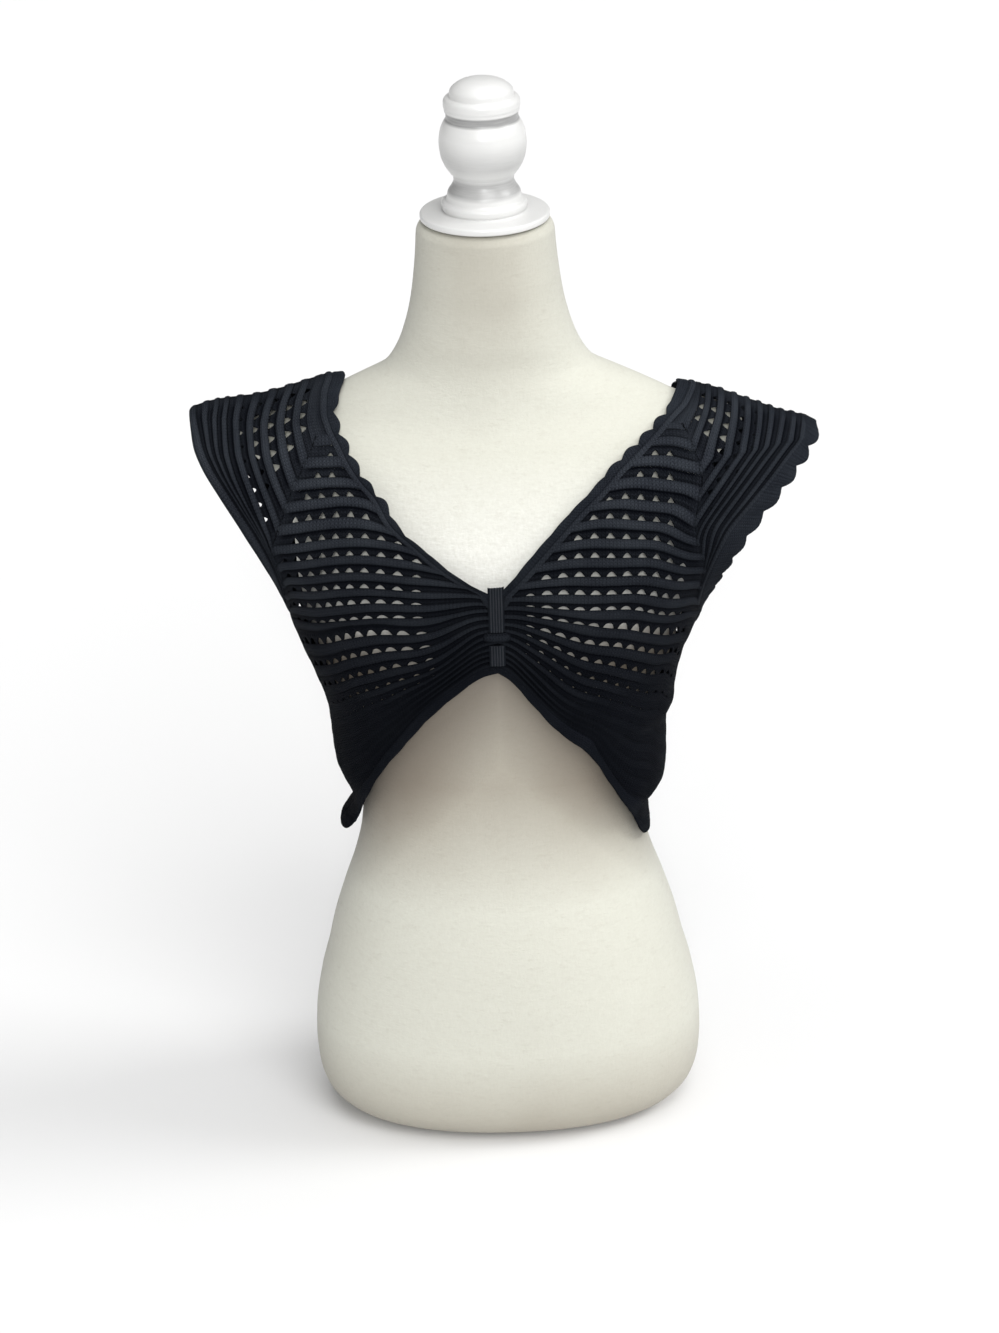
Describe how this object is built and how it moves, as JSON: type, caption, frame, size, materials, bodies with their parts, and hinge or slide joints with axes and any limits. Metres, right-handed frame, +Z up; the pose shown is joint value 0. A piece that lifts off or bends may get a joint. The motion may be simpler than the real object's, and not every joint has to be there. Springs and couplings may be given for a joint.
{
  "type": "knit shell top on a dress form",
  "caption": "Sleeveless cropped openwork knit top with a gathered centre front, worn on a limbless padded dress form with a turned neck cap.",
  "frame": {"origin": "middle of the flat underside of the dress form", "axes": "+Z up; -Y is the front of the garment; -X is the wearer's right"},
  "size_m": [0.5069, 0.2358, 0.907],
  "materials": {
    "cover": "matt off-white jersey cover over padding",
    "painted_wood": "turned wood in white semi-gloss paint",
    "knit": "near-black ribbed openwork knit",
    "tab_knit": "near-black plain knit with fine upright wales",
    "edging": "near-black scalloped knitted edging"
  },
  "bodies": {
    "root": {"dress_form": "cover", "neck_cap": "painted_wood", "front_right": "knit", "front_left": "knit", "back_panel": "knit", "tab_upper": "tab_knit", "tab_rib": "knit", "tab_lower": "tab_knit", "neck_trim_right": "edging", "neck_trim_left": "edging", "neck_trim_back": "edging", "armhole_trim_right": "edging", "armhole_trim_left": "edging", "hem_trim_right": "edging", "hem_trim_left": "edging", "hem_trim_back": "edging"}
  },
  "joints": []
}
